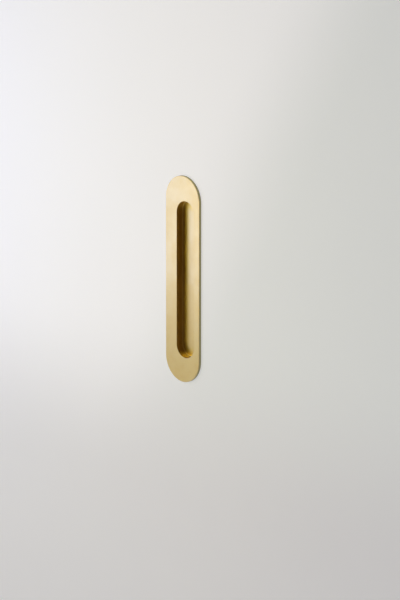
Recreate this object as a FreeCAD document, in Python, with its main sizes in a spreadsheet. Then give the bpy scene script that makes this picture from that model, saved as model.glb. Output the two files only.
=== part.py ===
import FreeCAD, Part
import Sketcher
import enum
import math
import os

# Pocket door pull: a one-piece brass flush pull with a long round-ended plate and a finger recess.
# Frame, in millimetres: +Z up along the plate, +X to the right as the pull is seen, front face
# towards -Y. The origin is the centre of the seat, the plane of the plate's back.

NODE = "pull_body"
NEAR = 1e-4

# Driving dimensions: alias, value, meaning. Every other size follows from these.
SIZES = (
    ("plate_length", 200.0, "plate, end to end"),
    ("plate_width", 47.0, "plate, side to side; its ends are half rounds of this width"),
    ("plate_thickness", 2.5, "how far the plate stands proud of its seat"),
    ("front_edge_radius", 0.5, "softened edge around the front face"),
    ("end_rim", 24.0, "face left above and below the recess"),
    ("wide_rim", 15.5, "face left beside the recess on the left"),
    ("narrow_rim", 7.5, "face left beside the recess on the right"),
    ("recess_depth", 7.5, "front face to recess floor"),
    ("lip_radius", 0.3, "broken edge at the mouth of the recess"),
    ("floor_radius", 0.8, "round left by the cutter where the recess wall meets its floor"),
    ("cup_wall", 2.5, "metal around the recess behind the plate"),
    ("floor_thickness", 2.5, "metal behind the recess floor"),
    ("cup_back_radius", 1.0, "rounded back edge that leads the cup into the mortise"),
    ("root_radius", 0.8, "fillet where the cup and the bosses grow out of the plate"),
    ("boss_inset", 11.0, "centre of a screw boss from the end of the plate"),
    ("boss_diameter", 9.0, "screw boss"),
    ("boss_height", 7.5, "screw boss behind the seat"),
    ("tap_core", 3.3, "core of the M4 tapped hole in each boss"),
    ("tap_depth", 7.0, "depth of the tapped hole before its drill point"),
    ("tap_mouth", 0.6, "chamfer at the mouth of the tapped hole"),
)

# Formulas that several features share, in terms of the sheet's aliases.
SLOT_LEFT = "sizes.plate_width / 2 - sizes.wide_rim"
SLOT_RIGHT = "sizes.plate_width / 2 - sizes.narrow_rim"
SLOT_HALF_LENGTH = "sizes.plate_length / 2 - sizes.end_rim"
CUP_HEIGHT = "sizes.recess_depth - sizes.plate_thickness + sizes.floor_thickness"


class Axis(enum.IntEnum):
    """Sketcher's own numbers for the geometry that every sketch has."""

    ORIGIN = -1
    VERTICAL = -2


class Point(enum.IntEnum):
    """Sketcher's own numbers for the named points of a curve."""

    START = 1
    END = 2
    CENTRE = 3


def fill_sheet(doc):
    """Put the driving dimensions in the document's sheet, one alias a row."""
    sheet = doc.addObject("Spreadsheet::Sheet", "sizes")
    for row, (alias, value, meaning) in enumerate(SIZES, start=1):
        sheet.set(f"A{row}", meaning)
        sheet.set(f"B{row}", str(value))
        sheet.setAlias(f"B{row}", alias)
    doc.recompute()
    return sheet


def front_sketch(body, name, forward="0"):
    """Start a sketch parallel to the seat, moved forward from it. Its axes are the part's X and Z."""
    sketch = body.newObject("Sketcher::SketchObject", name)
    for plane in body.Origin.OriginFeatures:
        if plane.Role == "XZ_Plane":
            sketch.AttachmentSupport = [(plane, "")]
    sketch.MapMode = "FlatFace"
    sketch.setExpression("AttachmentOffset.Base.z", forward)
    return sketch


def bind(sketch, constraint, name, formula):
    """Add a dimension to a sketch and tie it to the sheet."""
    index = sketch.addConstraint(constraint)
    sketch.renameConstraint(index, name)
    sketch.setExpression(f"Constraints.{name}", formula)


def draw_round_ended(sketch, left_reach, right_reach, half_length):
    """Draw an upright round-ended outline by how far it reaches left, right, up and down."""
    reach, straight = 10.0, 30.0
    axis = FreeCAD.Vector(0, 0, 1)
    top = Part.Circle(FreeCAD.Vector(0, straight, 0), axis, reach)
    bottom = Part.Circle(FreeCAD.Vector(0, -straight, 0), axis, reach)
    corners = [FreeCAD.Vector(x, y, 0) for x in (reach, -reach) for y in (-straight, straight)]
    lower_right, upper_right, lower_left, upper_left = corners
    outline = [
        Part.LineSegment(lower_right, upper_right),
        Part.ArcOfCircle(top, 0, math.pi),
        Part.LineSegment(upper_left, lower_left),
        Part.ArcOfCircle(bottom, math.pi, 2 * math.pi),
    ]
    right, upper, left, lower = sketch.addGeometry(outline, False)
    for before, after in ((right, upper), (upper, left), (left, lower), (lower, right)):
        sketch.addConstraint(Sketcher.Constraint("Tangent", before, Point.END, after, Point.START))
    sketch.addConstraint(Sketcher.Constraint("Vertical", right))
    sketch.addConstraint(Sketcher.Constraint("Vertical", left))

    straight_half = f"({half_length}) - (({left_reach}) + ({right_reach})) / 2"
    to_left = Sketcher.Constraint("DistanceX", left, Point.START, Axis.ORIGIN, Point.START, reach)
    to_right = Sketcher.Constraint("DistanceX", Axis.ORIGIN, Point.START, right, Point.START, reach)
    to_upper = Sketcher.Constraint("DistanceY", Axis.ORIGIN, Point.START, upper, Point.CENTRE, straight)
    to_lower = Sketcher.Constraint("DistanceY", lower, Point.CENTRE, Axis.ORIGIN, Point.START, straight)
    bind(sketch, to_left, "left_reach", left_reach)
    bind(sketch, to_right, "right_reach", right_reach)
    bind(sketch, to_upper, "upper_centre", straight_half)
    bind(sketch, to_lower, "lower_centre", straight_half)


def draw_fixing_circles(sketch, diameter):
    """Draw one circle for each screw boss, on the plate's centre line near both ends."""
    size, height = 4.0, 60.0
    axis = FreeCAD.Vector(0, 0, 1)
    for name, side in (("upper", 1), ("lower", -1)):
        circle = sketch.addGeometry(Part.Circle(FreeCAD.Vector(0, side * height, 0), axis, size), False)
        sketch.addConstraint(Sketcher.Constraint("PointOnObject", circle, Point.CENTRE, Axis.VERTICAL))
        if side > 0:
            away = Sketcher.Constraint("DistanceY", Axis.ORIGIN, Point.START, circle, Point.CENTRE, height)
        else:
            away = Sketcher.Constraint("DistanceY", circle, Point.CENTRE, Axis.ORIGIN, Point.START, height)
        bind(sketch, away, f"{name}_centre", "sizes.plate_length / 2 - sizes.boss_inset")
        bind(sketch, Sketcher.Constraint("Diameter", circle, 2 * size), f"{name}_diameter", diameter)


def add_pad(doc, body, name, sketch, length, backwards=False):
    """Extrude a sketch forward from its plane, or back behind the seat."""
    pad = body.newObject("PartDesign::Pad", name)
    pad.Profile = sketch
    pad.Reversed = backwards
    pad.setExpression("Length", length)
    doc.recompute()
    return pad


def face_at(shape, depth):
    """Return the largest flat face that lies in the plane y = depth."""
    flat = [
        face
        for face in shape.Faces
        if abs(face.BoundBox.YMin - depth) < NEAR and abs(face.BoundBox.YMax - depth) < NEAR
    ]
    return max(flat, key=lambda face: face.Area)


def edge_names(shape, face, outer):
    """Name the edges of a face's outer wire, or of its inner wires."""
    wires = [wire for wire in face.Wires if wire.isSame(face.OuterWire) == outer]
    wanted = [edge for wire in wires for edge in wire.Edges]
    return [
        f"Edge{number}"
        for number, edge in enumerate(shape.Edges, start=1)
        if any(edge.isSame(other) for other in wanted)
    ]


def round_edges(doc, body, name, depth, outer, radius):
    """Fillet the outline, or the inner outlines, of the flat face at y = depth."""
    base = body.Tip
    names = edge_names(base.Shape, face_at(base.Shape, depth), outer)
    fillet = body.newObject("PartDesign::Fillet", name)
    fillet.Base = (base, names)
    fillet.setExpression("Radius", radius)
    doc.recompute()
    return fillet


def add_plate(doc, body):
    """Make the round-ended face plate, from the seat forward."""
    sketch = front_sketch(body, "plate_outline")
    half_width = "sizes.plate_width / 2"
    draw_round_ended(sketch, half_width, half_width, "sizes.plate_length / 2")
    add_pad(doc, body, "plate", sketch, "sizes.plate_thickness")


def add_cup(doc, body):
    """Make the block behind the plate that the recess is cut into, one wall larger all round."""
    sketch = front_sketch(body, "cup_outline")
    wall = "sizes.cup_wall"
    reaches = [f"{reach} + {wall}" for reach in (SLOT_LEFT, SLOT_RIGHT, SLOT_HALF_LENGTH)]
    draw_round_ended(sketch, *reaches)
    add_pad(doc, body, "cup", sketch, CUP_HEIGHT, backwards=True)


def add_bosses(doc, body):
    """Make the two screw bosses behind the plain ends of the plate."""
    sketch = front_sketch(body, "boss_outlines")
    draw_fixing_circles(sketch, "sizes.boss_diameter")
    add_pad(doc, body, "bosses", sketch, "sizes.boss_height", backwards=True)


def cut_recess(doc, body):
    """Cut the finger recess into the front face, off centre to the right."""
    sketch = front_sketch(body, "recess_outline", "sizes.plate_thickness")
    draw_round_ended(sketch, SLOT_LEFT, SLOT_RIGHT, SLOT_HALF_LENGTH)
    pocket = body.newObject("PartDesign::Pocket", "recess")
    pocket.Profile = sketch
    pocket.setExpression("Length", "sizes.recess_depth")
    doc.recompute()


def drill_bosses(doc, body):
    """Drill the blind holes for M4 screws that come from behind."""
    sketch = front_sketch(body, "tap_centres", "-sizes.boss_height")
    draw_fixing_circles(sketch, "sizes.tap_core")
    hole = body.newObject("PartDesign::Hole", "tapped_holes")
    hole.Profile = sketch
    doc.recompute()
    hole.Reversed = True
    hole.DepthType = "Dimension"
    hole.DrillPoint = "Angled"
    hole.DrillPointAngle = 118.0
    hole.HoleCutType = "Countersink"
    hole.HoleCutCountersinkAngle = 90.0
    hole.setExpression("Diameter", "sizes.tap_core")
    hole.setExpression("Depth", "sizes.tap_depth")
    hole.setExpression("HoleCutDiameter", "sizes.tap_core + 2 * sizes.tap_mouth")
    doc.recompute()


def soften_edges(doc, body, sheet):
    """Break the edges that a hand meets and round the corners that the cutter leaves."""
    front = -sheet.plate_thickness
    floor = front + sheet.recess_depth
    cup_back = floor + sheet.floor_thickness
    round_edges(doc, body, "front_edge", front, True, "sizes.front_edge_radius")
    round_edges(doc, body, "lip", front, False, "sizes.lip_radius")
    round_edges(doc, body, "floor_corner", floor, True, "sizes.floor_radius")
    round_edges(doc, body, "roots", 0.0, False, "sizes.root_radius")
    round_edges(doc, body, "cup_back_edge", cup_back, True, "sizes.cup_back_radius")


def build_pull(doc, sheet):
    """Make the pull, one solid of cast and milled brass."""
    body = doc.addObject("PartDesign::Body", NODE)
    body.Label = NODE
    body.Placement = FreeCAD.Placement()
    add_plate(doc, body)
    add_cup(doc, body)
    add_bosses(doc, body)
    before = body.Shape.Volume
    cut_recess(doc, body)
    drill_bosses(doc, body)
    if body.Shape.Volume >= before:
        raise RuntimeError("the recess and the holes cut nothing")
    soften_edges(doc, body, sheet)
    return body


def check_document(doc):
    """Stop if any object of the document failed."""
    for item in doc.Objects:
        if "Invalid" in item.State or "Error" in item.State:
            raise RuntimeError(f"{item.Label} failed: {item.State}")


def export_body(body):
    """Check the body's shape and write its STEP file."""
    shape = body.Shape
    if shape.isNull() or not shape.isValid() or len(shape.Solids) != 1:
        raise RuntimeError(f"{body.Label} is not one sound solid")
    os.makedirs("parts", exist_ok=True)
    shape.exportStep(f"parts/{body.Label}.step")
    box = shape.optimalBoundingBox(False, False)
    size = f"{box.XLength:.2f} x {box.YLength:.2f} x {box.ZLength:.2f} mm"
    print(f"{body.Label}: {size}, {shape.Volume / 1000:.2f} cm3, {len(shape.Faces)} faces")


def main():
    """Build the document, check it and write the part."""
    doc = FreeCAD.newDocument("pocket_door_pull")
    sheet = fill_sheet(doc)
    pull = build_pull(doc, sheet)
    check_document(doc)
    export_body(pull)


main()
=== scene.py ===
"""Looks of a satin brass flush pull for a sliding door: its form, its finish, light and camera."""

import logging
import math
from collections.abc import Callable, Iterator
from contextlib import contextmanager
from dataclasses import dataclass
from enum import Enum

import bmesh
import bpy
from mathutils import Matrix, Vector

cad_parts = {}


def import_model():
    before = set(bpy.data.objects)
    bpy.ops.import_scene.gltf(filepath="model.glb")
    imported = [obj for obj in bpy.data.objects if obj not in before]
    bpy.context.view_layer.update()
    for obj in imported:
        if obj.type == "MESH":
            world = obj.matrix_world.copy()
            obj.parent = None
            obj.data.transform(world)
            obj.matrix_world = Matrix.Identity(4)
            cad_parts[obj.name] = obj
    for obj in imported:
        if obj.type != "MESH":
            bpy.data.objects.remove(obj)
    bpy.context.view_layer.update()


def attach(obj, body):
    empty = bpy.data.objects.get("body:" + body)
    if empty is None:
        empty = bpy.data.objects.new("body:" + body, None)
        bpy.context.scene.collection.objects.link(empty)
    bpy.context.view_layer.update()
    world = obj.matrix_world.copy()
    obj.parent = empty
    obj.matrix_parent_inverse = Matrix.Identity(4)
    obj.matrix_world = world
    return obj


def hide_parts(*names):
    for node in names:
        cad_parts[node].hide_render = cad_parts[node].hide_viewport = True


LOG = logging.getLogger("pocket_door_pull")
BODY = "root"
NODE = "pull_body"
BACK_MASK = "milled_back"
# The side's mask carries painted shade as well as a duller finish
SIDE_SHADE_MASK = "dull_shaded_side"
# The recess corner's mask carries a painted reflection tint
MIRROR_TINT_MASK = "recess_corner_reflection"

# A millimetre in metres, and how close two points are to be one, to be on one outline, or welded
MM = 0.001
NEAR = 0.01 * MM
ON_OUTLINE = 5 * NEAR
WELD = 0.001 * MM
THREAD_WELD = 0.002 * MM

# The angle between its faces, in radians, above which an edge is sharp
SHARP = 0.5

# The length, in half widths of an outline, above which an edge can cross it
ACROSS = 1.9

# The share of a normal along Y: below the first a face is upright to the seat, above the second flat
STANDING = 0.1
FLAT = 0.9

# What noise gives runs mostly between these values
NOISE_RANGE = (0.36, 0.64)

# A wave texture turns by this many radians over one unit of its scaled length
WAVE_TURN = 20.0

Colour = tuple[float, float, float]
Triple = tuple[float, float, float]


class Element(Enum):
    """What an edit-mode selection is made of."""

    EDGE = "EDGE"
    FACE = "FACE"


class Joining(Enum):
    """How two solids are put together."""

    UNION = "UNION"
    DIFFERENCE = "DIFFERENCE"


def make_active(piece: bpy.types.Object) -> None:
    """Select one object alone and make it the active one.

    Args:
        piece: the object.
    """
    bpy.ops.object.select_all(action="DESELECT")
    piece.select_set(True)
    bpy.context.view_layer.objects.active = piece


@contextmanager
def edit_mode(piece: bpy.types.Object) -> Iterator[None]:
    """Work on one object in edit mode, with nothing selected at the start.

    Args:
        piece: the object to edit.

    Yields:
        Nothing; edit mode ends with the block.
    """
    make_active(piece)
    bpy.ops.object.mode_set(mode="EDIT")
    bpy.ops.mesh.select_all(action="DESELECT")
    try:
        yield
    finally:
        bpy.ops.object.mode_set(mode="OBJECT")


def select_where(element: Element, wanted: Callable[[object], bool]) -> int:
    """Select the edges or faces of the edited mesh that pass a test, and nothing else.

    Args:
        element: edges or faces.
        wanted: the test, which is given a bmesh edge or face.

    Returns:
        How many were selected.
    """
    bpy.ops.mesh.select_mode(type=element.value)
    bpy.ops.mesh.select_all(action="DESELECT")
    data = bpy.context.object.data
    mesh = bmesh.from_edit_mesh(data)
    items = mesh.edges if element is Element.EDGE else mesh.faces
    chosen = [item for item in items if wanted(item)]
    for item in chosen:
        item.select_set(True)
    mesh.select_flush_mode()
    bmesh.update_edit_mesh(data)
    return len(chosen)


def face_outwards() -> None:
    """Turn all faces of the edited mesh outwards."""
    bpy.ops.mesh.select_all(action="SELECT")
    bpy.ops.mesh.normals_make_consistent(inside=False)


def fix_place() -> None:
    """Put the active object's place and turn into its mesh."""
    bpy.ops.object.transform_apply(location=True, rotation=True, scale=True)


def apply_modifier(piece: bpy.types.Object, modifier: bpy.types.Modifier) -> None:
    """Apply one modifier of an object."""
    make_active(piece)
    bpy.ops.object.modifier_apply(modifier=modifier.name)


def join_solids(piece: bpy.types.Object, tool: bpy.types.Object, joining: Joining) -> None:
    """Add a solid to a piece or cut it away, and remove the tool.

    Args:
        piece: the piece that stays.
        tool: the solid that is added or cut away.
        joining: union or difference.
    """
    modifier = piece.modifiers.new(joining.value.lower(), "BOOLEAN")
    modifier.operation = joining.value
    modifier.solver = "EXACT"
    modifier.object = tool
    apply_modifier(piece, modifier)
    bpy.data.objects.remove(tool)


def is_sharp(edge: bmesh.types.BMEdge) -> bool:
    """Tell whether the two faces of an edge meet at a clear angle."""
    return edge.calc_face_angle(0.0) > SHARP


def is_level(edge: bmesh.types.BMEdge) -> bool:
    """Tell whether both ends of an edge are at one height."""
    return abs(edge.verts[0].co.z - edge.verts[1].co.z) < NEAR


def lies_at(edge: bmesh.types.BMEdge, depth: float) -> bool:
    """Tell whether an edge lies in the plane y = depth."""
    return all(abs(vert.co.y - depth) < NEAR for vert in edge.verts)


def add_rod(
    radius: float, start: float, end: float, height: float, facets: int
) -> bpy.types.Object:
    """Add a cylinder that runs along Y, at x = 0.

    Args:
        radius: its radius.
        start: the y of its front end.
        end: the y of its back end.
        height: the z of its axis.
        facets: the number of facets around it.

    Returns:
        The cylinder, with its place in its mesh.
    """
    bpy.ops.object.select_all(action="DESELECT")
    bpy.ops.mesh.primitive_cylinder_add(
        vertices=facets,
        radius=radius,
        depth=end - start,
        location=(0.0, (start + end) / 2, height),
        rotation=(math.pi / 2, 0.0, 0.0),
    )
    fix_place()
    return bpy.context.object


def round_edge(
    piece: bpy.types.Object,
    wanted: Callable[[bmesh.types.BMEdge], bool],
    radius: float,
    segments: int,
) -> None:
    """Bevel the chosen edges of a piece to a round.

    Args:
        piece: the piece.
        wanted: the test that chooses its edges.
        radius: the round's radius.
        segments: the number of facets across the round.
    """
    with edit_mode(piece):
        count = select_where(Element.EDGE, wanted)
        bpy.ops.mesh.bevel(
            offset=radius,
            offset_type="OFFSET",
            segments=segments,
            profile=0.5,
            affect="EDGES",
            clamp_overlap=True,
        )
    LOG.info("%s: %d edges rounded", piece.name, count)


@dataclass(frozen=True)
class RoundEnded:
    """An upright outline with half-round ends, in planes parallel to the seat."""

    centre: float
    half_width: float
    half_length: float
    facets: int = 144

    @property
    def straight(self) -> float:
        """Half the length of the straight sides."""
        return self.half_length - self.half_width

    def reach(self, x: float, z: float) -> float:
        """Give the distance from a point to the outline's middle line."""
        return math.hypot(x - self.centre, max(abs(z) - self.straight, 0.0))

    def covers(self, x: float, z: float) -> bool:
        """Tell whether a point lies on the outline or within it."""
        return self.reach(x, z) < self.half_width + NEAR

    def passes(self, x: float, z: float) -> bool:
        """Tell whether the outline runs through a point."""
        return abs(self.reach(x, z) - self.half_width) < ON_OUTLINE

    def spans(self, edge: bmesh.types.BMEdge) -> bool:
        """Tell whether an edge is as long as the outline is wide, or longer."""
        return edge.calc_length() > ACROSS * self.half_width

    def holds(self, edge: bmesh.types.BMEdge, depth: float) -> bool:
        """Tell whether a sharp edge runs along this outline at a depth.

        Args:
            edge: the edge.
            depth: the y of the outline's plane.

        Returns:
            True where both its ends are on the outline.
        """
        if not lies_at(edge, depth) or not is_sharp(edge):
            return False
        return all(self.passes(vert.co.x, vert.co.z) for vert in edge.verts)

    def sheet(self, name: str, depth: float) -> bpy.types.Object:
        """Model the outline as a flat sheet: a disc cut in half, drawn apart and bridged.

        Args:
            name: the object's name.
            depth: the y of its plane.

        Returns:
            The sheet.
        """
        bpy.ops.object.select_all(action="DESELECT")
        bpy.ops.mesh.primitive_circle_add(
            vertices=self.facets,
            radius=self.half_width,
            fill_type="NGON",
            location=(self.centre, depth, 0.0),
            rotation=(math.pi / 2, 0.0, 0.0),
        )
        sheet = bpy.context.object
        sheet.name = name
        fix_place()
        with edit_mode(sheet):
            bpy.ops.mesh.select_all(action="SELECT")
            bpy.ops.mesh.bisect(plane_co=(self.centre, depth, 0.0), plane_no=(0.0, 0.0, 1.0))
            select_where(Element.FACE, lambda face: face.calc_center_median().z > 0)
            bpy.ops.mesh.split()
            bpy.ops.transform.translate(value=(0.0, 0.0, self.straight))
            select_where(Element.FACE, lambda face: face.calc_center_median().z < 0)
            bpy.ops.transform.translate(value=(0.0, 0.0, -self.straight))
            select_where(Element.EDGE, self.spans)
            bpy.ops.mesh.bridge_edge_loops()
        return sheet

    def block(self, name: str, front: float, back: float) -> bpy.types.Object:
        """Model the outline as a solid between two depths.

        Args:
            name: the object's name.
            front: the y of its front.
            back: the y of its back.

        Returns:
            The solid.
        """
        piece = self.sheet(name, front)
        thick = (0.0, back - front, 0.0)
        with edit_mode(piece):
            bpy.ops.mesh.select_mode(type="FACE")
            bpy.ops.mesh.select_all(action="SELECT")
            bpy.ops.mesh.extrude_region_move(TRANSFORM_OT_translate={"value": thick})
            face_outwards()
        return piece


def opaque(colour: object) -> object:
    """Give a colour of three numbers its alpha, and pass on a node's output as it is."""
    return (*colour, 1.0) if isinstance(colour, tuple) else colour


class NodeBench:
    """A short way to place and wire the nodes of one node tree."""

    def __init__(self, tree: bpy.types.NodeTree) -> None:
        """Start with an empty tree.

        Args:
            tree: the node tree of a material, a world or a group.
        """
        self.tree = tree
        tree.nodes.clear()

    def add(self, kind: str, **settings: object) -> bpy.types.Node:
        """Add one node.

        Args:
            kind: the node's type name.
            settings: its properties and the values to give them.

        Returns:
            The new node.
        """
        node = self.tree.nodes.new(kind)
        for name, value in settings.items():
            setattr(node, name, value)
        return node

    def feed(self, target: bpy.types.NodeSocket, value: object) -> None:
        """Give an input its value.

        Args:
            target: the input.
            value: a number, a colour or another node's output.
        """
        if isinstance(value, bpy.types.NodeSocket):
            self.tree.links.new(value, target)
        else:
            target.default_value = value

    def maths(self, operation: str, first: object, second: object) -> bpy.types.NodeSocket:
        """Work out one number from two.

        Args:
            operation: the Math node's operation.
            first: its first number or output.
            second: its second number or output.

        Returns:
            The result.
        """
        node = self.add("ShaderNodeMath", operation=operation)
        self.feed(node.inputs[0], first)
        self.feed(node.inputs[1], second)
        return node.outputs[0]

    def weigh(self, first: object, second: object, share: float) -> bpy.types.NodeSocket:
        """Add two numbers by weight.

        Args:
            first: the first output.
            second: the second output.
            share: the first one's weight; the second has the rest of 1.

        Returns:
            The sum.
        """
        part = self.maths("MULTIPLY", first, share)
        rest = self.maths("MULTIPLY", second, 1.0 - share)
        return self.maths("ADD", part, rest)

    def ramp(
        self, value: object, low: float, high: float, at_low: float, at_high: float
    ) -> bpy.types.NodeSocket:
        """Map a value from one range to another, smoothly and held at both ends.

        Args:
            value: the value.
            low: where its range starts.
            high: where its range ends.
            at_low: the result at the start.
            at_high: the result at the end.

        Returns:
            The result.
        """
        node = self.add("ShaderNodeMapRange", interpolation_type="SMOOTHSTEP")
        names = ("Value", "From Min", "From Max", "To Min", "To Max")
        for name, given in zip(names, (value, low, high, at_low, at_high)):
            self.feed(node.inputs[name], given)
        return node.outputs["Result"]

    def mix(self, kind: str, mask: object, first: object, second: object) -> bpy.types.NodeSocket:
        """Mix two values by a mask.

        Args:
            kind: the Mix node's data type.
            mask: the mask, 0 for the first value and 1 for the second.
            first: the first value.
            second: the second value.

        Returns:
            The mixed value.
        """
        node = self.add("ShaderNodeMix", data_type=kind)
        self.feed(node.inputs["Factor"], mask)
        self.feed(node.inputs["A"], first)
        self.feed(node.inputs["B"], second)
        return node.outputs["Result"]

    def blend(self, mask: object, first: object, second: object) -> bpy.types.NodeSocket:
        """Mix two colours by a mask."""
        return self.mix("RGBA", mask, opaque(first), opaque(second))

    def change(self, mask: object, first: object, second: object) -> bpy.types.NodeSocket:
        """Mix two numbers by a mask."""
        return self.mix("FLOAT", mask, first, second)

    def mask(self, name: str) -> bpy.types.NodeSocket:
        """Read a mask that is stored in the mesh."""
        return self.add("ShaderNodeAttribute", attribute_name=name).outputs["Fac"]

    def split(self, place: bpy.types.NodeSocket) -> bpy.types.NodeOutputs:
        """Take coordinates apart.

        Args:
            place: the coordinates.

        Returns:
            The outputs X, Y and Z.
        """
        node = self.add("ShaderNodeSeparateXYZ")
        self.feed(node.inputs["Vector"], place)
        return node.outputs

    def bump(self, height: bpy.types.NodeSocket) -> bpy.types.NodeSocket:
        """Turn a height into a normal.

        Args:
            height: the height in metres.

        Returns:
            The normal.
        """
        node = self.add("ShaderNodeBump")
        node.inputs["Distance"].default_value = 1.0
        node.inputs["Strength"].default_value = 1.0
        self.feed(node.inputs["Height"], height)
        return node.outputs["Normal"]

    def end(self, kind: str, shader: bpy.types.NodeSocket) -> None:
        """Feed a shader to a new output node of a kind."""
        self.feed(self.add(kind).inputs["Surface"], shader)


class EffectGroup:
    """A node group that finishes place, each with its own values."""

    def __init__(self, name: str, inputs: dict[str, object], outputs: tuple[str, ...]) -> None:
        """Make the group with its named inputs and outputs.

        Args:
            name: the group's name.
            inputs: each input's default, a number, or None for a vector.
            outputs: the names of its outputs, which are all numbers.
        """
        self.tree = bpy.data.node_groups.new(name, "ShaderNodeTree")
        self.bench = NodeBench(self.tree)
        for label, default in inputs.items():
            kind = "NodeSocketVector" if default is None else "NodeSocketFloat"
            socket = self.tree.interface.new_socket(label, in_out="INPUT", socket_type=kind)
            if default is not None:
                socket.default_value = default
        for label in outputs:
            self.tree.interface.new_socket(label, in_out="OUTPUT", socket_type="NodeSocketFloat")
        self.given = self.bench.add("NodeGroupInput").outputs
        self.result = self.bench.add("NodeGroupOutput").inputs

    def place(self, bench: NodeBench, **values: object) -> bpy.types.NodeOutputs:
        """Place the group in a tree.

        Args:
            bench: the bench of the tree that uses it.
            values: what its inputs get, by name.

        Returns:
            The placed group's outputs.
        """
        node = bench.add("ShaderNodeGroup", node_tree=self.tree)
        for label, value in values.items():
            bench.feed(node.inputs[label], value)
        return node.outputs


def noise(
    bench: NodeBench, place: bpy.types.NodeSocket, repeats: Triple, detail: float = 2.0
) -> bpy.types.NodeSocket:
    """Add noise on stretched coordinates.

    Args:
        bench: the bench of the tree.
        place: the coordinates.
        repeats: how many times the noise repeats in one unit along each axis.
        detail: its number of octaves.

    Returns:
        The noise's value, about 0 to 1.
    """
    mapping = bench.add("ShaderNodeMapping")
    bench.feed(mapping.inputs["Vector"], place)
    mapping.inputs["Scale"].default_value = repeats
    node = bench.add("ShaderNodeTexNoise")
    bench.feed(node.inputs["Vector"], mapping.outputs["Vector"])
    node.inputs["Scale"].default_value = 1.0
    node.inputs["Detail"].default_value = detail
    return node.outputs["Fac"]


@dataclass(frozen=True)
class Brushing:
    """Long fine scratches along Z: hairs, and bands of hairs. Repeats are counted in a metre."""

    hairs: Triple = (5200.0, 5200.0, 60.0)
    bands: Triple = (900.0, 900.0, 14.0)
    hair_share: float = 0.7
    detail: float = 3.0

    def group(self) -> EffectGroup:
        """Build the effect: a height for bumps, as deep as Depth, and a mask of streaks.

        Returns:
            The group.
        """
        group = EffectGroup("long_brushing", {"Place": None, "Depth": 1.0}, ("Height", "Streaks"))
        bench, place = group.bench, group.given["Place"]
        hairs = noise(bench, place, self.hairs, self.detail)
        bands = noise(bench, place, self.bands, self.detail)
        height = bench.weigh(hairs, bands, self.hair_share)
        bench.feed(group.result["Height"], bench.maths("MULTIPLY", height, group.given["Depth"]))
        streaks = bench.ramp(bench.weigh(hairs, bands, 0.5), *NOISE_RANGE, 0.0, 1.0)
        bench.feed(group.result["Streaks"], streaks)
        return group


@dataclass(frozen=True)
class Mottling:
    """Soft uneven patches of two sizes, as handling and age leave them."""

    broad: Triple = (1.0, 1.0, 1.0)
    small: Triple = (5.0, 5.0, 5.0)
    broad_share: float = 0.72
    small_detail: float = 3.0

    def group(self) -> EffectGroup:
        """Build the effect: a mask of patches, the broad ones about as wide as Size.

        Returns:
            The group.
        """
        group = EffectGroup("soft_mottling", {"Place": None, "Size": 0.03}, ("Patches",))
        bench = group.bench
        scaled = bench.add("ShaderNodeVectorMath", operation="SCALE")
        bench.feed(scaled.inputs[0], group.given["Place"])
        bench.feed(scaled.inputs["Scale"], bench.maths("DIVIDE", 1.0, group.given["Size"]))
        broad = noise(bench, scaled.outputs["Vector"], self.broad)
        small = noise(bench, scaled.outputs["Vector"], self.small, self.small_detail)
        patches = bench.ramp(bench.weigh(broad, small, self.broad_share), *NOISE_RANGE, 0.0, 1.0)
        bench.feed(group.result["Patches"], patches)
        return group


def new_material(name: str) -> tuple[bpy.types.Material, NodeBench]:
    """Make a material with an empty tree.

    Args:
        name: the finish's plain name.

    Returns:
        The material and the bench for its tree.
    """
    material = bpy.data.materials.new(name)
    material.use_nodes = True
    return material, NodeBench(material.node_tree)


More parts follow.
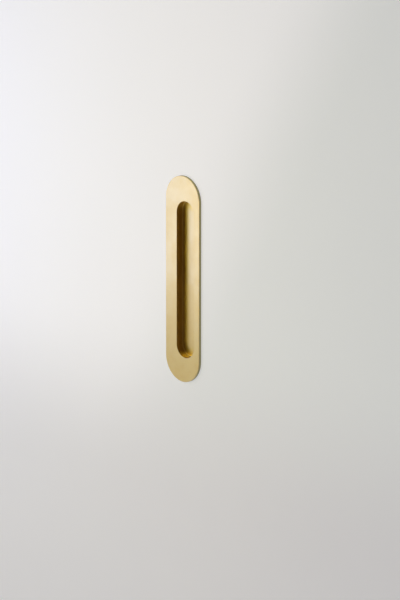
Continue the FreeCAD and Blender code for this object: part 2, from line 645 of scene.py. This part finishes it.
@dataclass(frozen=True)
class SatinBrass:
    """Satin brass: brushed in front, milled behind, duller at the side under painted shade, with a
    painted reflection tint in the recess's left corner, rubbed on its edges.
    """

    brushing: EffectGroup
    mottling: EffectGroup
    colour: Colour = (0.84, 0.675, 0.38)
    toned: Colour = (0.80, 0.62, 0.32)
    rubbed: Colour = (0.88, 0.73, 0.45)
    milled: Colour = (0.74, 0.55, 0.27)
    # painted shade: the plate's side is tinted dark in place of the shaded panel it mirrors; its
    # rougher, duller finish is its own
    side_shade: Colour = (0.33, 0.305, 0.16)
    # painted reflection: a deeper, saturated brass tint for the recess corner, where brass mirrors
    # brass
    deep: Colour = (0.865, 0.64, 0.20)
    roughness: float = 0.33
    roughness_spread: float = 0.04
    rubbed_roughness: float = 0.22
    milled_roughness: float = 0.40
    dulled_roughness: float = 0.38
    patch_size: float = 0.03
    streak_share: float = 0.6
    brush_depth: float = 0.016 * MM
    mill_depth: float = 0.006 * MM
    mill_step: float = 0.8 * MM
    mill_waver: float = 1.2
    rub_reach: float = 0.35 * MM
    rub_turn: tuple[float, float] = (0.90, 0.995)
    rub_share: float = 0.6

    def material(self) -> bpy.types.Material:
        """Build the finish.

        Returns:
            The material.
        """
        material, bench = new_material("satin_brass")
        place = bench.add("ShaderNodeTexCoord").outputs["Object"]
        brushed = self.brushing.place(bench, Place=place, Depth=self.brush_depth)
        patches = self.mottling.place(bench, Place=place, Size=self.patch_size)["Patches"]
        back, side = bench.mask(BACK_MASK), bench.mask(SIDE_SHADE_MASK)
        edge = self.rubbed_edges(bench)

        tone = bench.blend(patches, self.colour, self.toned)
        # painted reflection tint in the recess's left corner
        tone = bench.blend(bench.mask(MIRROR_TINT_MASK), tone, self.deep)
        # painted shade on the plate's side
        tone = bench.blend(side, tone, self.side_shade)
        tone = bench.blend(edge, tone, self.rubbed)
        tone = bench.blend(back, tone, self.milled)

        low, high = self.roughness - self.roughness_spread, self.roughness + self.roughness_spread
        uneven = bench.weigh(brushed["Streaks"], patches, self.streak_share)
        rough = bench.ramp(uneven, 0.0, 1.0, low, high)
        rough = bench.change(side, rough, self.dulled_roughness)
        rough = bench.change(edge, rough, self.rubbed_roughness)
        rough = bench.change(back, rough, self.milled_roughness)

        height = bench.change(back, brushed["Height"], self.mill_marks(bench, place))
        shader = bench.add("ShaderNodeBsdfPrincipled")
        shader.inputs["Metallic"].default_value = 1.0
        bench.feed(shader.inputs["Base Color"], tone)
        bench.feed(shader.inputs["Roughness"], rough)
        bench.feed(shader.inputs["Normal"], bench.bump(height))
        bench.end("ShaderNodeOutputMaterial", shader.outputs["BSDF"])
        return material

    def mill_marks(self, bench: NodeBench, place: bpy.types.NodeSocket) -> bpy.types.NodeSocket:
        """Build the slightly wavy marks that the cutter leaves behind.

        Args:
            bench: the material's bench.
            place: the object coordinates.

        Returns:
            Their height.
        """
        marks = bench.add("ShaderNodeTexWave", wave_type="BANDS", wave_profile="SIN")
        marks.bands_direction = "Z"
        bench.feed(marks.inputs["Vector"], place)
        marks.inputs["Scale"].default_value = 2 * math.pi / (WAVE_TURN * self.mill_step)
        marks.inputs["Distortion"].default_value = self.mill_waver
        return bench.maths("MULTIPLY", marks.outputs["Fac"], self.mill_depth)

    def rubbed_edges(self, bench: NodeBench) -> bpy.types.NodeSocket:
        """Mark the narrow rounds, where the normal turns within rub_reach.

        Args:
            bench: the material's bench.

        Returns:
            The mask.
        """
        around = bench.add("ShaderNodeBevel", samples=6)
        around.inputs["Radius"].default_value = self.rub_reach
        straight = bench.add("ShaderNodeNewGeometry").outputs["Normal"]
        turn = bench.add("ShaderNodeVectorMath", operation="DOT_PRODUCT")
        bench.feed(turn.inputs[0], around.outputs["Normal"])
        bench.feed(turn.inputs[1], straight)
        return bench.ramp(turn.outputs["Value"], *self.rub_turn, self.rub_share, 0.0)


@dataclass(frozen=True)
class PanelPaint:
    """Pale rolled paint of the panel and the floor.

    It is clear from behind, to leave the back in view. To the camera and in reflections it glows,
    so it is brighter than the lamps make it, but it lights nothing else. The glow changes to
    glow_far over turn, to the right and downwards by slope, and to glow_low over sink. Reflections
    don't show it in front of mirrored_from, in the dim part of the room.
    """

    name: str
    mottling: EffectGroup
    colour: Colour = (0.46, 0.455, 0.445)
    shaded: Colour = (0.44, 0.435, 0.425)
    glow: Colour = (0.612, 0.607, 0.622)
    glow_far: Colour = (0.505, 0.518, 0.522)
    glow_low: Colour = (0.462, 0.458, 0.475)
    turn: tuple[float, float] = (-0.06, 0.10)
    slope: float = 0.6
    sink: tuple[float, float] = (-0.04, -0.22)
    mirrored_from: float = -10.0
    mirror_fade: float = 0.3
    roughness: float = 0.6
    patch_size: float = 0.25
    stipple: float = 0.01 * MM
    stipple_repeats: Triple = (700.0, 700.0, 700.0)

    def material(self) -> bpy.types.Material:
        """Build the finish.

        Returns:
            The material.
        """
        material, bench = new_material(self.name)
        place = bench.add("ShaderNodeTexCoord").outputs["Object"]
        patches = self.mottling.place(bench, Place=place, Size=self.patch_size)["Patches"]
        grain = noise(bench, place, self.stipple_repeats)
        paint = bench.add("ShaderNodeBsdfPrincipled")
        bench.feed(paint.inputs["Base Color"], bench.blend(patches, self.colour, self.shaded))
        paint.inputs["Roughness"].default_value = self.roughness
        bench.feed(paint.inputs["Normal"], bench.bump(bench.maths("MULTIPLY", grain, self.stipple)))
        both = bench.add("ShaderNodeAddShader")
        bench.feed(both.inputs[0], paint.outputs["BSDF"])
        bench.feed(both.inputs[1], self.glow_shader(bench, bench.split(place)))
        clear = bench.add("ShaderNodeBsdfTransparent")
        mix = bench.add("ShaderNodeMixShader")
        bench.feed(mix.inputs["Fac"], bench.add("ShaderNodeNewGeometry").outputs["Backfacing"])
        bench.feed(mix.inputs[1], both.outputs["Shader"])
        bench.feed(mix.inputs[2], clear.outputs["BSDF"])
        bench.end("ShaderNodeOutputMaterial", mix.outputs["Shader"])
        return material

    def glow_shader(self, bench: NodeBench, along: bpy.types.NodeOutputs) -> bpy.types.NodeSocket:
        """Build the glow that the camera and reflections see.

        Args:
            bench: the material's bench.
            along: the object coordinates, taken apart.

        Returns:
            The emission.
        """
        rays = bench.add("ShaderNodeLightPath").outputs
        fade_end = self.mirrored_from + self.mirror_fade
        lit_side = bench.ramp(along["Y"], self.mirrored_from, fade_end, 0.0, 1.0)
        mirrored = bench.maths("MULTIPLY", rays["Is Glossy Ray"], lit_side)
        seen = bench.maths("MAXIMUM", rays["Is Camera Ray"], rays["Is Transmission Ray"])
        down = bench.maths("MULTIPLY", along["Z"], self.slope)
        far = bench.ramp(bench.maths("SUBTRACT", along["X"], down), *self.turn, 0.0, 1.0)
        low = bench.ramp(along["Z"], self.sink[1], self.sink[0], 1.0, 0.0)
        tone = bench.blend(far, self.glow, self.glow_far)
        glow = bench.add("ShaderNodeEmission")
        bench.feed(glow.inputs["Color"], bench.blend(low, tone, self.glow_low))
        bench.feed(glow.inputs["Strength"], bench.maths("MAXIMUM", seen, mirrored))
        return glow.outputs["Emission"]


@dataclass(frozen=True)
class TappedHole:
    """A blind M4 hole: drilled, opened at its mouth and tapped."""

    core: float = 1.65 * MM
    pitch: float = 0.7 * MM
    depth: float = 7.0 * MM
    mouth: float = 0.6 * MM
    mouth_overrun: float = 1.5
    tip: float = 0.99 * MM
    tip_share: float = 0.02
    facets: int = 48
    blind_turns: float = 1.5
    lead_turns: float = 1.3
    spare_turns: int = 3
    tap_overrun: float = 0.5 * MM
    thread_steps: int = 40

    def cut(self, piece: bpy.types.Object, height: float, opening: float) -> None:
        """Drill and tap one hole from behind.

        Args:
            piece: the piece that gets the hole.
            height: the z of the hole's axis.
            opening: the y of its mouth.
        """
        join_solids(piece, self.drill(height, opening), Joining.DIFFERENCE)
        join_solids(piece, self.tap(height, opening), Joining.DIFFERENCE)

    def drill(self, height: float, opening: float) -> bpy.types.Object:
        """Model the drilled space: a cylinder drawn out to the drill's point and the chamfer.

        Args:
            height: the z of the hole's axis.
            opening: the y of its mouth.

        Returns:
            The space.
        """
        bottom, shoulder = opening - self.depth, opening - self.mouth
        flare = self.mouth_overrun * self.mouth
        drill = add_rod(self.core, bottom, shoulder, height, self.facets)
        with edit_mode(drill):
            self.draw_end(height, bottom, -self.tip, self.tip_share)
            self.draw_end(height, shoulder, flare, 1 + flare / self.core)
            face_outwards()
        return drill

    def draw_end(self, height: float, end: float, drawn: float, share: float) -> None:
        """Draw out one end of the edited cylinder and change its width.

        Args:
            height: the z of the cylinder's axis.
            end: the y of the end.
            drawn: how far it moves along Y.
            share: its new width as a share of the old one.
        """
        select_where(Element.FACE, lambda face: abs(face.calc_center_median().y - end) < NEAR)
        bpy.ops.mesh.extrude_region_move(TRANSFORM_OT_translate={"value": (0.0, drawn, 0.0)})
        bpy.ops.transform.resize(value=(share, 1.0, share), center_override=(0.0, end, height))

    def profile(self) -> bpy.types.Object:
        """Model the thread's profile: a V that is one pitch wide, with its point at the core.

        Returns:
            The profile.
        """
        ridge = self.pitch / 2
        bpy.ops.object.select_all(action="DESELECT")
        bpy.ops.mesh.primitive_circle_add(
            vertices=4, radius=ridge, location=(self.core + ridge, 0.0, 0.0)
        )
        profile = bpy.context.object
        fix_place()
        with edit_mode(profile):
            bpy.ops.mesh.select_mode(type="VERT")
            bpy.ops.mesh.select_all(action="DESELECT")
            mesh = bmesh.from_edit_mesh(profile.data)
            max(mesh.verts, key=lambda vert: vert.co.x).select_set(True)
            bmesh.update_edit_mesh(profile.data)
            bpy.ops.mesh.delete(type="VERT")
        return profile

    def tap(self, height: float, opening: float) -> bpy.types.Object:
        """Model the tap: the profile screwed along the axis, cut square at both ends.

        Args:
            height: the z of the hole's axis.
            opening: the y of its mouth.

        Returns:
            The tap.
        """
        tap = self.profile()
        screw = tap.modifiers.new("screw", "SCREW")
        screw.axis = "Y"
        screw.screw_offset = self.pitch
        screw.iterations = math.ceil(self.depth / self.pitch) + self.spare_turns
        screw.steps = screw.render_steps = self.thread_steps
        screw.use_merge_vertices = False
        apply_modifier(tap, screw)
        top = opening + self.tap_overrun
        bottom = opening - self.depth + self.blind_turns * self.pitch
        start = (0.0, bottom - self.lead_turns * self.pitch, height)
        with edit_mode(tap):
            bpy.ops.mesh.select_all(action="SELECT")
            bpy.ops.mesh.remove_doubles(threshold=THREAD_WELD)
            bpy.ops.transform.translate(value=start)
            for end, facing in ((top, 1.0), (bottom, -1.0)):
                bpy.ops.mesh.select_all(action="SELECT")
                bpy.ops.mesh.bisect(
                    plane_co=(0.0, end, height),
                    plane_no=(0.0, facing, 0.0),
                    use_fill=True,
                    clear_outer=True,
                )
            face_outwards()
        return tap


@dataclass
class Pull:
    """The pull: a round-ended plate, an off-centre finger recess, its cup and two screw bosses."""

    finish: SatinBrass
    length: float = 200.0 * MM
    width: float = 47.0 * MM
    thickness: float = 2.5 * MM
    end_rim: float = 24.0 * MM
    wide_rim: float = 15.5 * MM
    narrow_rim: float = 7.5 * MM
    recess_depth: float = 7.5 * MM
    front_round: float = 0.5 * MM
    lip_round: float = 0.3 * MM
    floor_round: float = 0.8 * MM
    cup_wall: float = 2.5 * MM
    floor_thickness: float = 2.5 * MM
    cup_round: float = 1.0 * MM
    root_round: float = 0.8 * MM
    boss_inset: float = 11.0 * MM
    boss_radius: float = 4.5 * MM
    boss_height: float = 7.5 * MM
    boss_round: float = 0.3 * MM
    boss_facets: int = 72
    cutter_overrun: float = 5.0 * MM
    # the band, fade and turn of the painted reflection tint in the recess corner; the band and fade
    # are also inset into the floor
    corner_band: float = 5.0 * MM
    band_fade: float = 6.0 * MM
    tone_turn: float = 8.0 * MM
    smooth_up_to: float = 35.0
    hole: TappedHole = TappedHole()

    @property
    def plate(self) -> RoundEnded:
        """The plate's outline."""
        return RoundEnded(0.0, self.width / 2, self.length / 2)

    @property
    def slot(self) -> RoundEnded:
        """The recess's outline."""
        centre = (self.wide_rim - self.narrow_rim) / 2
        half_width = (self.width - self.wide_rim - self.narrow_rim) / 2
        return RoundEnded(centre, half_width, self.length / 2 - self.end_rim)

    @property
    def cup(self) -> RoundEnded:
        """The cup's outline, one wall larger than the recess."""
        slot, wall = self.slot, self.cup_wall
        return RoundEnded(slot.centre, slot.half_width + wall, slot.half_length + wall)

    @property
    def floor(self) -> float:
        """The y of the recess's floor."""
        return self.recess_depth - self.thickness

    @property
    def boss_places(self) -> tuple[float, float]:
        """The z of the two bosses."""
        place = self.length / 2 - self.boss_inset
        return place, -place

    def build(self) -> None:
        pull = self.build_plate()
        self.add_cup(pull)
        self.add_bosses(pull)
        self.round_roots(pull)
        self.tap_holes(pull)
        self.cut_recess(pull)
        self.ring_floor(pull)
        self.smooth(pull)
        self.mark_faces(pull)
        self.paint_corner_reflection(pull)
        pull.data.materials.clear()
        pull.data.materials.append(self.finish.material())
        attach(pull, BODY)
        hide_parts(NODE)
        LOG.info("%s: %d faces", pull.name, len(pull.data.polygons))

    def build_plate(self) -> bpy.types.Object:
        """Model the face plate with its softened front edge.

        Returns:
            The plate.
        """
        front = -self.thickness
        pull = self.plate.block("brass_pull", front, 0.0)
        round_edge(pull, lambda edge: self.plate.holds(edge, front), self.front_round, segments=5)
        return pull

    def add_cup(self, pull: bpy.types.Object) -> None:
        """Grow the cup out of the back of the plate.

        Args:
            pull: the plate.
        """
        back = self.floor + self.floor_thickness
        cup = self.cup.block("cup", -self.thickness / 2, back)
        round_edge(cup, lambda edge: self.cup.holds(edge, back), self.cup_round, segments=5)
        join_solids(pull, cup, Joining.UNION)

    def add_bosses(self, pull: bpy.types.Object) -> None:
        """Grow the two screw bosses out of the back of the plate.

        Args:
            pull: the plate.
        """
        root, end = -self.thickness / 2, self.boss_height
        for height in self.boss_places:
            boss = add_rod(self.boss_radius, root, end, height, self.boss_facets)
            rim = lambda edge: lies_at(edge, end) and is_sharp(edge)
            round_edge(boss, rim, self.boss_round, segments=3)
            join_solids(pull, boss, Joining.UNION)

    def round_roots(self, pull: bpy.types.Object) -> None:
        """Fillet the corner where the cup and the bosses leave the plate.

        Args:
            pull: the plate with its cup and bosses.
        """
        round_edge(
            pull,
            lambda edge: lies_at(edge, 0.0) and is_sharp(edge) and not self.plate.holds(edge, 0.0),
            self.root_round,
            segments=5,
        )

    def tap_holes(self, pull: bpy.types.Object) -> None:
        """Drill and tap the two bosses."""
        for height in self.boss_places:
            self.hole.cut(pull, height, self.boss_height)

    def cut_recess(self, pull: bpy.types.Object) -> None:
        """Cut the finger recess, with a round at its floor and a broken edge at its mouth.

        Args:
            pull: the pull.
        """
        slot, floor, front = self.slot, self.floor, -self.thickness
        cutter = slot.block("cutter", front - self.cutter_overrun, floor)
        round_edge(cutter, lambda edge: slot.holds(edge, floor), self.floor_round, segments=6)
        join_solids(pull, cutter, Joining.DIFFERENCE)
        round_edge(pull, lambda edge: slot.holds(edge, front), self.lip_round, segments=4)

    def on_floor(self, face: bmesh.types.BMFace) -> bool:
        """Tell whether a face is the flat floor of the recess."""
        return abs(face.calc_center_median().y - self.floor) < NEAR and face.normal.y < -FLAT

    def ring_floor(self, pull: bpy.types.Object) -> None:
        """Inset the recess floor twice, so that the deeper, painted reflection tint of its corner
        fades inwards.

        Args:
            pull: the pull.
        """
        with edit_mode(pull):
            select_where(Element.FACE, self.on_floor)
            for width in (self.corner_band - self.floor_round, self.band_fade):
                bpy.ops.mesh.inset(thickness=width, depth=0.0, use_even_offset=True)

    def smooth(self, pull: bpy.types.Object) -> None:
        """Shade the rounds smooth and keep the flat faces flat.

        Args:
            pull: the pull.
        """
        with edit_mode(pull):
            bpy.ops.mesh.select_all(action="SELECT")
            bpy.ops.mesh.remove_doubles(threshold=WELD)
        bpy.ops.object.shade_smooth_by_angle(angle=math.radians(self.smooth_up_to))
        modifier = pull.modifiers.new("flat_faces", "WEIGHTED_NORMAL")
        modifier.mode = "FACE_AREA"
        modifier.weight = 100
        modifier.keep_sharp = True
        apply_modifier(pull, modifier)

    def mark_faces(self, pull: bpy.types.Object) -> None:
        """Mark the faces left as milled behind the seat, and the plate's side, which is duller and
        carries painted shade.

        Args:
            pull: the pull.
        """
        mesh, slot, plate, floor = pull.data, self.slot, self.plate, self.floor
        back = mesh.attributes.new(BACK_MASK, "FLOAT", "FACE")
        side = mesh.attributes.new(SIDE_SHADE_MASK, "FLOAT", "FACE")
        for face in mesh.polygons:
            x, y, z = face.center
            in_recess = slot.covers(x, z) and (face.normal.y < -STANDING or y < floor)
            along_side = plate.passes(x, z) and abs(face.normal.y) < STANDING
            back.data[face.index].value = float(y > -NEAR and not in_recess)
            side.data[face.index].value = float(along_side)

    def paint_corner_reflection(self, pull: bpy.types.Object) -> None:
        """Paint a reflection tint into the recess's corner at the left, where brass mirrors brass: a
        deeper, more saturated brass that fades out to the right.

        Args:
            pull: the pull.
        """
        mesh, slot, floor = pull.data, self.slot, self.floor
        corner = mesh.attributes.new(MIRROR_TINT_MASK, "FLOAT", "POINT")
        for vert in mesh.vertices:
            x, y, z = vert.co
            inside = slot.covers(x, z) and NEAR - self.thickness < y < floor + NEAR
            banded = slot.reach(x, z) > slot.half_width - self.corner_band - NEAR
            to_left = min(max((slot.centre + self.tone_turn - x) / self.tone_turn, 0.0), 1.0)
            corner.data[vert.index].value = to_left if inside and banded else 0.0


@dataclass
class Stage:
    """The panel around the plate, in the plane of its seat, and the floor."""

    panel_paint: PanelPaint
    floor_paint: PanelPaint
    opening: RoundEnded
    width_times: float = 40.0
    height_times: float = 8.0
    floor_drop: float = 0.55
    floor_size: float = 3.2
    floor_centre: tuple[float, float] = (0.1, -0.5)

    def build(self) -> None:
        """Build and dress the panel and the floor."""
        panel = self.build_panel()
        panel.data.materials.append(self.panel_paint.material())
        floor = self.build_floor()
        floor.data.materials.append(self.floor_paint.material())
        LOG.info("stage built")

    def build_panel(self) -> bpy.types.Object:
        """Model the panel in the seat's plane: the opening's outline, drawn far outwards.

        Returns:
            The panel.
        """
        panel = self.opening.sheet("panel", 0.0)
        outwards = (self.width_times, 1.0, self.height_times)
        with edit_mode(panel):
            bpy.ops.mesh.select_all(action="SELECT")
            bpy.ops.mesh.delete(type="ONLY_FACE")
            select_where(Element.EDGE, lambda edge: self.opening.spans(edge) and is_level(edge))
            bpy.ops.mesh.delete(type="EDGE")
            bpy.ops.mesh.select_mode(type="EDGE")
            bpy.ops.mesh.select_all(action="SELECT")
            bpy.ops.mesh.extrude_edges_move()
            bpy.ops.transform.resize(
                value=outwards, center_override=(self.opening.centre, 0.0, 0.0)
            )
            face_outwards()
            if bmesh.from_edit_mesh(panel.data).faces[:][0].normal.y > 0:
                bpy.ops.mesh.flip_normals()
        return panel

    def build_floor(self) -> bpy.types.Object:
        """Build the floor below the pull.

        Returns:
            The floor.
        """
        bpy.ops.object.select_all(action="DESELECT")
        bpy.ops.mesh.primitive_plane_add(
            size=self.floor_size, location=(*self.floor_centre, -self.floor_drop)
        )
        floor = bpy.context.object
        floor.name = "floor"
        return floor


@dataclass(frozen=True)
class Lamp:
    """One soft area lamp, set by the level at which a mirror would show it, where 1 is white."""

    name: str
    place: Triple
    facing: Triple
    size: tuple[float, float]
    level: float
    colour: Colour

    def build(self) -> None:
        """Build the lamp and turn it the way it faces."""
        data = bpy.data.lights.new(self.name, "AREA")
        data.shape = "RECTANGLE"
        data.size, data.size_y = self.size
        data.energy = self.level * math.pi * self.size[0] * self.size[1]
        data.color = self.colour
        lamp = bpy.data.objects.new(self.name, data)
        lamp.location = self.place
        lamp.rotation_euler = Vector(self.facing).to_track_quat("-Z", "Y").to_euler()
        bpy.context.scene.collection.objects.link(lamp)


@dataclass
class PhotoCamera:
    """The photograph's camera: to the right of the pull, a little above it, with a long lens."""

    azimuth: float = 47.8
    elevation: float = 13.2
    distance: float = 4.0
    pixels_per_metre: float = 1057.0
    frame_width: float = 400.0
    frame_height: float = 600.0
    centre_pixel: tuple[float, float] = (182.42, 279.44)
    aim: Triple = (0.0, -2.5 * MM, 0.0)
    film: float = 36.0
    sight: float = 50.0

    def build(self) -> None:
        """Build the camera so that the aim point lands on its pixel."""
        turn, rise = math.radians(self.azimuth), math.radians(self.elevation)
        level = math.cos(rise)
        outward = Vector((math.sin(turn) * level, -math.cos(turn) * level, math.sin(rise)))
        data = bpy.data.cameras.new("photo_camera")
        data.sensor_fit = "VERTICAL"
        data.sensor_height = self.film
        data.lens = self.pixels_per_metre * self.distance / self.frame_height * self.film
        data.shift_x = (self.frame_width / 2 - self.centre_pixel[0]) / self.frame_height
        data.shift_y = (self.centre_pixel[1] - self.frame_height / 2) / self.frame_height
        data.clip_end = self.sight
        camera = bpy.data.objects.new("photo_camera", data)
        camera.location = Vector(self.aim) + outward * self.distance
        camera.rotation_euler = (-outward).to_track_quat("-Z", "Y").to_euler()
        bpy.context.scene.collection.objects.link(camera)
        bpy.context.scene.camera = camera


@dataclass(frozen=True)
class Room:
    """The room: pale to the eye, grey where the brass mirrors its rear, and dim elsewhere."""

    pale: Colour = (0.86, 0.85, 0.83)
    behind: Colour = (0.36, 0.35, 0.34)
    dim: Colour = (0.025, 0.010, 0.001)
    rear_fade: float = 0.35

    def build(self) -> None:
        """Build the world."""
        world = bpy.data.worlds.new("room")
        world.use_nodes = True
        world.cycles.sampling_method = "NONE"
        bpy.context.scene.world = world
        bench = NodeBench(world.node_tree)
        along = bench.split(bench.add("ShaderNodeTexCoord").outputs["Generated"])
        rear = bench.ramp(along["Y"], 0.0, self.rear_fade, 0.0, 1.0)
        rays = bench.add("ShaderNodeLightPath").outputs
        seen = bench.maths("MAXIMUM", rays["Is Camera Ray"], rays["Is Transmission Ray"])
        mirrored = bench.maths("MULTIPLY", rays["Is Glossy Ray"], rear)
        tone = bench.blend(mirrored, self.dim, self.behind)
        sky = bench.add("ShaderNodeBackground")
        bench.feed(sky.inputs["Color"], bench.blend(seen, tone, self.pale))
        bench.end("ShaderNodeOutputWorld", sky.outputs["Background"])


def build_lights() -> None:
    """Build the soft light: bright from the left, dark on the right, and a fill behind."""
    Room().build()
    inwards = (0.296, 0.352, 0.0)
    cool, warm, golden = (0.91, 1.02, 1.47), (1.12, 1.02, 0.28), (1.15, 0.87, 0.30)
    pale, cream, soft = (0.99, 0.965, 0.74), (1.05, 0.97, 0.75), (1.0, 0.97, 0.80)
    white = (1.0, 0.98, 0.95)
    lamps = (
        Lamp("left_softbox", (-0.3921, -0.2712, 0.087), inwards, (0.3488, 0.446), 1.15, cool),
        Lamp("warm_side", (-0.213, -0.4218, 0.087), inwards, (0.1192, 0.446), 2.15, warm),
        Lamp("low_bounce", (-0.3465, -0.3096, -0.286), inwards, (0.468, 0.3), 0.56, pale),
        Lamp("front_strip", (-0.117, -0.5025, 0.012), inwards, (0.132, 0.596), 0.75, golden),
        Lamp("front_card", (0.03, -0.52, 0.012), (-0.03, 0.52, 0.0), (0.16, 0.6), 0.23, cream),
        Lamp("ceiling_card", (-0.12, -0.36, 0.55), (0.12, 0.36, -0.55), (0.5, 0.3), 0.36, soft),
        Lamp("rear_softbox", (0.35, 0.75, 0.35), (-0.35, -0.75, -0.35), (0.9, 0.9), 0.9, white),
        Lamp("rear_fill", (-0.7, 0.45, 0.1), (0.7, -0.45, -0.1), (0.6, 0.9), 0.5, white),
    )
    for lamp in lamps:
        lamp.build()
    LOG.info("lights built")


def main() -> None:
    """Build the pull, the stage, the light and the camera."""
    logging.basicConfig(level=logging.INFO)
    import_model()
    mottling = Mottling().group()
    pull = Pull(SatinBrass(Brushing().group(), mottling))
    pull.build()
    panel_paint = PanelPaint("panel_paint", mottling)
    floor_paint = PanelPaint("floor_paint", mottling, mirrored_from=0.0, sink=(-1.0, -2.0))
    Stage(panel_paint, floor_paint, pull.plate).build()
    build_lights()
    PhotoCamera().build()
    bpy.context.scene.view_settings.view_transform = "Standard"
    LOG.info("sizes written")


if __name__ == "__main__":
    main()
